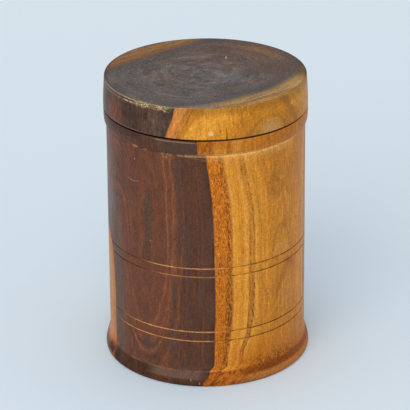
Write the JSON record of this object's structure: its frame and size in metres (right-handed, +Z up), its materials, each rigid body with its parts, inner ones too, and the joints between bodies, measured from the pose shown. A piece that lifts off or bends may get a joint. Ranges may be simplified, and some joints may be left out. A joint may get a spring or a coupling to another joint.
{
  "type": "turned wooden jar with lid",
  "caption": "Lathe-turned cylindrical wooden container with a flared foot, cut rings, a collar and a drop-in flat lid.",
  "frame": {"origin": "centre of the foot, on the surface that the jar stands on", "axes": "+Z up along the turning axis, from the foot to the lid; -Y is the side that shows where dark and golden wood meet"},
  "size_m": [0.1054, 0.1054, 0.1484],
  "materials": {
    "jar_wood": "waxed, dark heartwood beside golden sapwood",
    "lid_wood": "waxed, dark heartwood beside golden sapwood, dull grey-brown end grain on top"
  },
  "bodies": {
    "jar": {"jar": "jar_wood"},
    "lid": {"lid": "lid_wood"}
  },
  "joints": [
    {"name": "lid_lift", "type": "slide", "parent": "jar", "child": "lid", "axis": [0, 0, 1], "range_m": [0, 0.15]}
  ]
}
